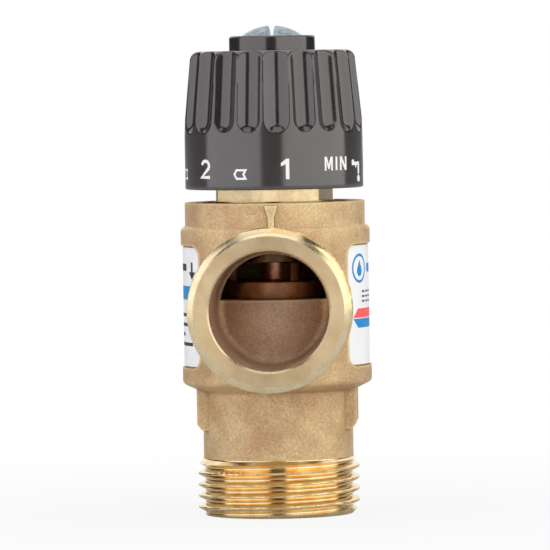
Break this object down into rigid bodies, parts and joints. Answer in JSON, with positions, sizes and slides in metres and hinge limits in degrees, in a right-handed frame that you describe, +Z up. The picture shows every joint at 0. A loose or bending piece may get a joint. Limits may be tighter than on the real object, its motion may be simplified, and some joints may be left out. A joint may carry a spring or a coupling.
{
  "type": "three-way mixing valve",
  "caption": "Brass three-way mixing valve with male pipe ends, a front cold inlet, a rear hot inlet, a mixed outlet below and a fluted dial knob that sets the mixed water.",
  "frame": {"origin": "centre of the mixed outlet's end face, on the spindle axis", "axes": "+Z up along the spindle axis to the knob, -Y out of the cold inlet, +Y out of the hot inlet, +X to the right as seen from the cold inlet"},
  "size_m": [0.039, 0.07, 0.1007],
  "materials": {
    "black_plastic": "moulded, glossy black-brown",
    "black_rubber": "moulded EPDM",
    "cast_brass": "sand-cast brass, blasted",
    "copper": "drawn copper",
    "label_film": "printed white film",
    "spring_steel": "stainless spring wire",
    "turned_brass": "turned brass",
    "wax": "wax with copper powder",
    "zinc_steel": "zinc plated"
  },
  "bodies": {
    "valve": {"valve_body": "cast_brass", "rating_label_left": "label_film", "rating_label_right": "label_film", "bonnet": "turned_brass", "bonnet_oring": "black_rubber", "shuttle_oring": "black_rubber", "return_spring": "spring_steel"},
    "setting_lift": {"overtravel_washer": "spring_steel", "overtravel_spring": "spring_steel"},
    "dial": {"knob": "black_plastic", "knob_screw": "zinc_steel", "spindle": "turned_brass", "spindle_oring_lower": "black_rubber", "spindle_oring_upper": "black_rubber", "spindle_clip": "spring_steel"},
    "plunger": {"overtravel_plunger": "turned_brass", "element_pin": "spring_steel"},
    "shuttle_element": {"shuttle": "turned_brass", "element_guide": "turned_brass", "element_cup": "copper", "element_diaphragm": "black_rubber", "wax_charge": "wax"}
  },
  "joints": [
    {"name": "dial_turn", "type": "hinge", "parent": "setting_lift", "child": "dial", "pos_m": [0, 0, 0.08], "axis": [0, 0, 1], "range_deg": [-45.6, 260.6]},
    {"name": "dial_rise", "type": "slide", "parent": "valve", "child": "setting_lift", "axis": [0, 0, 1], "range_m": [-0.00038, 0.00217]},
    {"name": "overtravel", "type": "slide", "parent": "setting_lift", "child": "plunger", "axis": [0, 0, 1], "range_m": [0, 0.0015], "stiffness_N_per_m": 5100, "deforming": ["overtravel_spring"]},
    {"name": "shuttle_slide", "type": "slide", "parent": "valve", "child": "shuttle_element", "axis": [0, 0, 1], "range_m": [-0.0014, 0.0038], "stiffness_N_per_m": 730, "deforming": ["return_spring"]}
  ],
  "couplings": [
    {"joint": "dial_turn", "follows": "dial_rise", "rad_per_m": 2094.4}
  ]
}
